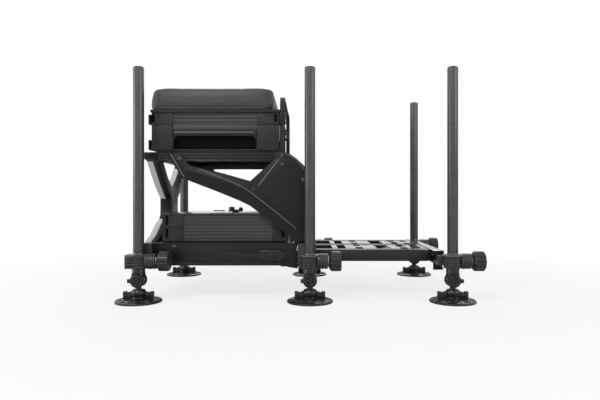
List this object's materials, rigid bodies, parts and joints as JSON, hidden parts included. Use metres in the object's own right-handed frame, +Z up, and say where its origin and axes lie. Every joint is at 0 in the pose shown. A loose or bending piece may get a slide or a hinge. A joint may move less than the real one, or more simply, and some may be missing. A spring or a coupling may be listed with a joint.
{
  "type": "fishing seat box",
  "caption": "Fishing seat box: padded seat on trays and drawers, side panels, chassis with sliding footplate, and clamped sliding legs with swivel feet.",
  "frame": {"origin": "centre of the bounding box on the floor, under the feet", "axes": "+X towards the footplate, +Y to the sitter's left, +Z up"},
  "size_m": [1.032, 0.669, 0.6582],
  "materials": {
    "leg_metal": "satin black anodised",
    "satin_black_metal": "satin black anodised extrusion",
    "moulded_frame": "fine moulded grain",
    "tray_extrusion": "ribbed satin",
    "corner_plastic": "moulded",
    "gloss_panel": "semi gloss",
    "small_plastic": "moulded",
    "foot_plastic": "moulded",
    "knob_plastic": "moulded",
    "dark_steel": "blackened",
    "seat_cover": "coated fabric with fine grain",
    "strap_webbing": "woven webbing"
  },
  "bodies": {
    "chassis": {"chassis_rails": "satin_black_metal", "chassis_beams": "satin_black_metal", "chassis_leg_clamps": "moulded_frame", "side_panel_right": "moulded_frame", "side_panel_left": "moulded_frame", "rear_cross_frame": "moulded_frame", "seat_frame": "satin_black_metal", "lower_tray": "tray_extrusion", "middle_tray": "tray_extrusion", "cassette_corners": "corner_plastic", "drawer_casing": "tray_extrusion", "seat_unit_corners": "corner_plastic", "upper_tray": "tray_extrusion", "seat_hinge": "dark_steel", "shoulder_strap": "strap_webbing", "strap_buckle": "small_plastic", "frame_screws": "dark_steel"},
    "footplate": {"footplate_rails": "satin_black_metal", "footplate_deck": "gloss_panel", "footplate_front_beam": "satin_black_metal", "footplate_leg_clamps": "moulded_frame"},
    "cassette_lid": {"cassette_lid": "gloss_panel"},
    "lid_catch": {"lid_catch": "small_plastic"},
    "drawer_right": {"drawer_right": "corner_plastic"},
    "drawer_left": {"drawer_left": "corner_plastic"},
    "seat_lid": {"seat_board": "corner_plastic", "seat_cushion": "seat_cover"},
    "seat_latch": {"seat_latch": "small_plastic"},
    "footplate_lock_right": {"footplate_lock_right": "small_plastic"},
    "footplate_lock_left": {"footplate_lock_left": "small_plastic"},
    "leg_rear_right": {"leg_tube_rear_right": "leg_metal"},
    "knuckle_rear_right": {"foot_knuckle_rear_right": "foot_plastic"},
    "pad_rear_right": {"foot_pad_rear_right": "foot_plastic"},
    "lever_rear_right": {"foot_lever_rear_right": "knob_plastic"},
    "knob_rear_right": {"clamp_knob_rear_right": "knob_plastic"},
    "leg_rear_left": {"leg_tube_rear_left": "leg_metal"},
    "knuckle_rear_left": {"foot_knuckle_rear_left": "foot_plastic"},
    "pad_rear_left": {"foot_pad_rear_left": "foot_plastic"},
    "lever_rear_left": {"foot_lever_rear_left": "knob_plastic"},
    "knob_rear_left": {"clamp_knob_rear_left": "knob_plastic"},
    "leg_middle_right": {"leg_tube_middle_right": "leg_metal"},
    "knuckle_middle_right": {"foot_knuckle_middle_right": "foot_plastic"},
    "pad_middle_right": {"foot_pad_middle_right": "foot_plastic"},
    "lever_middle_right": {"foot_lever_middle_right": "knob_plastic"},
    "knob_middle_right": {"clamp_knob_middle_right": "knob_plastic"},
    "leg_middle_left": {"leg_tube_middle_left": "leg_metal"},
    "knuckle_middle_left": {"foot_knuckle_middle_left": "foot_plastic"},
    "pad_middle_left": {"foot_pad_middle_left": "foot_plastic"},
    "lever_middle_left": {"foot_lever_middle_left": "knob_plastic"},
    "knob_middle_left": {"clamp_knob_middle_left": "knob_plastic"},
    "leg_front_right": {"leg_tube_front_right": "leg_metal"},
    "knuckle_front_right": {"foot_knuckle_front_right": "foot_plastic"},
    "pad_front_right": {"foot_pad_front_right": "foot_plastic"},
    "lever_front_right": {"foot_lever_front_right": "knob_plastic"},
    "knob_front_right": {"clamp_knob_front_right": "knob_plastic"},
    "leg_front_left": {"leg_tube_front_left": "leg_metal"},
    "knuckle_front_left": {"foot_knuckle_front_left": "foot_plastic"},
    "pad_front_left": {"foot_pad_front_left": "foot_plastic"},
    "lever_front_left": {"foot_lever_front_left": "knob_plastic"},
    "knob_front_left": {"clamp_knob_front_left": "knob_plastic"}
  },
  "joints": [
    {"name": "footplate_slide", "type": "slide", "parent": "chassis", "child": "footplate", "axis": [1, 0, 0], "range_m": [-0.26, 0]},
    {"name": "cassette_lid_hinge", "type": "hinge", "parent": "chassis", "child": "cassette_lid", "pos_m": [-0.218, 0.2193, 0.2448], "axis": [-1, 0, 0], "range_deg": [0, 18]},
    {"name": "lid_catch_turn", "type": "hinge", "parent": "cassette_lid", "child": "lid_catch", "pos_m": [-0.204, -0.09, 0.2463], "axis": [0, 0, 1], "range_deg": [0, 90]},
    {"name": "drawer_right_slide", "type": "slide", "parent": "chassis", "child": "drawer_right", "axis": [0, -1, 0], "range_m": [0, 0.15]},
    {"name": "drawer_left_slide", "type": "slide", "parent": "chassis", "child": "drawer_left", "axis": [0, 1, 0], "range_m": [0, 0.15]},
    {"name": "seat_hinge", "type": "hinge", "parent": "chassis", "child": "seat_lid", "pos_m": [-0.438, 0, 0.5433], "axis": [0, -1, 0], "range_deg": [0, 100]},
    {"name": "seat_latch_turn", "type": "hinge", "parent": "chassis", "child": "seat_latch", "pos_m": [-0.0562, 0, 0.511], "axis": [0, 1, 0], "range_deg": [0, 75]},
    {"name": "footplate_lock_right_turn", "type": "hinge", "parent": "chassis", "child": "footplate_lock_right", "pos_m": [-0.0805, -0.225, 0.125], "axis": [0, 1, 0], "range_deg": [0, 90]},
    {"name": "footplate_lock_left_turn", "type": "hinge", "parent": "chassis", "child": "footplate_lock_left", "pos_m": [-0.0805, 0.225, 0.125], "axis": [0, 1, 0], "range_deg": [0, 90]},
    {"name": "leg_rear_right_slide", "type": "slide", "parent": "chassis", "child": "leg_rear_right", "axis": [0, 0, 1], "range_m": [-0.42, 0]},
    {"name": "knob_rear_right_turn", "type": "hinge", "parent": "chassis", "child": "knob_rear_right", "pos_m": [-0.4515, -0.27, 0.114], "axis": [1, 0, 0], "continuous": true},
    {"name": "knuckle_rear_right_tilt", "type": "hinge", "parent": "leg_rear_right", "child": "knuckle_rear_right", "pos_m": [-0.4515, -0.27, 0.061], "axis": [0, 1, 0], "range_deg": [-25, 25]},
    {"name": "pad_rear_right_tilt", "type": "hinge", "parent": "knuckle_rear_right", "child": "pad_rear_right", "pos_m": [-0.4515, -0.27, 0.027], "axis": [1, 0, 0], "range_deg": [-12, 12]},
    {"name": "lever_rear_right_turn", "type": "hinge", "parent": "leg_rear_right", "child": "lever_rear_right", "pos_m": [-0.4515, -0.27, 0.061], "axis": [0, 1, 0], "range_deg": [0, 45]},
    {"name": "leg_rear_left_slide", "type": "slide", "parent": "chassis", "child": "leg_rear_left", "axis": [0, 0, 1], "range_m": [-0.42, 0]},
    {"name": "knob_rear_left_turn", "type": "hinge", "parent": "chassis", "child": "knob_rear_left", "pos_m": [-0.4515, 0.27, 0.114], "axis": [1, 0, 0], "continuous": true},
    {"name": "knuckle_rear_left_tilt", "type": "hinge", "parent": "leg_rear_left", "child": "knuckle_rear_left", "pos_m": [-0.4515, 0.27, 0.061], "axis": [0, 1, 0], "range_deg": [-25, 25]},
    {"name": "pad_rear_left_tilt", "type": "hinge", "parent": "knuckle_rear_left", "child": "pad_rear_left", "pos_m": [-0.4515, 0.27, 0.027], "axis": [1, 0, 0], "range_deg": [-12, 12]},
    {"name": "lever_rear_left_turn", "type": "hinge", "parent": "leg_rear_left", "child": "lever_rear_left", "pos_m": [-0.4515, 0.27, 0.061], "axis": [0, 1, 0], "range_deg": [0, 45]},
    {"name": "leg_middle_right_slide", "type": "slide", "parent": "chassis", "child": "leg_middle_right", "axis": [0, 0, 1], "range_m": [-0.42, 0]},
    {"name": "knob_middle_right_turn", "type": "hinge", "parent": "chassis", "child": "knob_middle_right", "pos_m": [0.0285, -0.27, 0.114], "axis": [1, 0, 0], "continuous": true},
    {"name": "knuckle_middle_right_tilt", "type": "hinge", "parent": "leg_middle_right", "child": "knuckle_middle_right", "pos_m": [0.0285, -0.27, 0.061], "axis": [0, 1, 0], "range_deg": [-25, 25]},
    {"name": "pad_middle_right_tilt", "type": "hinge", "parent": "knuckle_middle_right", "child": "pad_middle_right", "pos_m": [0.0285, -0.27, 0.027], "axis": [1, 0, 0], "range_deg": [-12, 12]},
    {"name": "lever_middle_right_turn", "type": "hinge", "parent": "leg_middle_right", "child": "lever_middle_right", "pos_m": [0.0285, -0.27, 0.061], "axis": [0, 1, 0], "range_deg": [0, 45]},
    {"name": "leg_middle_left_slide", "type": "slide", "parent": "chassis", "child": "leg_middle_left", "axis": [0, 0, 1], "range_m": [-0.42, 0]},
    {"name": "knob_middle_left_turn", "type": "hinge", "parent": "chassis", "child": "knob_middle_left", "pos_m": [0.0285, 0.27, 0.114], "axis": [1, 0, 0], "continuous": true},
    {"name": "knuckle_middle_left_tilt", "type": "hinge", "parent": "leg_middle_left", "child": "knuckle_middle_left", "pos_m": [0.0285, 0.27, 0.061], "axis": [0, 1, 0], "range_deg": [-25, 25]},
    {"name": "pad_middle_left_tilt", "type": "hinge", "parent": "knuckle_middle_left", "child": "pad_middle_left", "pos_m": [0.0285, 0.27, 0.027], "axis": [1, 0, 0], "range_deg": [-12, 12]},
    {"name": "lever_middle_left_turn", "type": "hinge", "parent": "leg_middle_left", "child": "lever_middle_left", "pos_m": [0.0285, 0.27, 0.061], "axis": [0, 1, 0], "range_deg": [0, 45]},
    {"name": "leg_front_right_slide", "type": "slide", "parent": "footplate", "child": "leg_front_right", "axis": [0, 0, 1], "range_m": [-0.42, 0]},
    {"name": "knob_front_right_turn", "type": "hinge", "parent": "footplate", "child": "knob_front_right", "pos_m": [0.4285, -0.27, 0.114], "axis": [1, 0, 0], "continuous": true},
    {"name": "knuckle_front_right_tilt", "type": "hinge", "parent": "leg_front_right", "child": "knuckle_front_right", "pos_m": [0.4285, -0.27, 0.061], "axis": [0, 1, 0], "range_deg": [-25, 25]},
    {"name": "pad_front_right_tilt", "type": "hinge", "parent": "knuckle_front_right", "child": "pad_front_right", "pos_m": [0.4285, -0.27, 0.027], "axis": [1, 0, 0], "range_deg": [-12, 12]},
    {"name": "lever_front_right_turn", "type": "hinge", "parent": "leg_front_right", "child": "lever_front_right", "pos_m": [0.4285, -0.27, 0.061], "axis": [0, -1, 0], "range_deg": [0, 45]},
    {"name": "leg_front_left_slide", "type": "slide", "parent": "footplate", "child": "leg_front_left", "axis": [0, 0, 1], "range_m": [-0.42, 0]},
    {"name": "knob_front_left_turn", "type": "hinge", "parent": "footplate", "child": "knob_front_left", "pos_m": [0.4285, 0.27, 0.114], "axis": [1, 0, 0], "continuous": true},
    {"name": "knuckle_front_left_tilt", "type": "hinge", "parent": "leg_front_left", "child": "knuckle_front_left", "pos_m": [0.4285, 0.27, 0.061], "axis": [0, 1, 0], "range_deg": [-25, 25]},
    {"name": "pad_front_left_tilt", "type": "hinge", "parent": "knuckle_front_left", "child": "pad_front_left", "pos_m": [0.4285, 0.27, 0.027], "axis": [1, 0, 0], "range_deg": [-12, 12]},
    {"name": "lever_front_left_turn", "type": "hinge", "parent": "leg_front_left", "child": "lever_front_left", "pos_m": [0.4285, 0.27, 0.061], "axis": [0, -1, 0], "range_deg": [0, 45]}
  ]
}
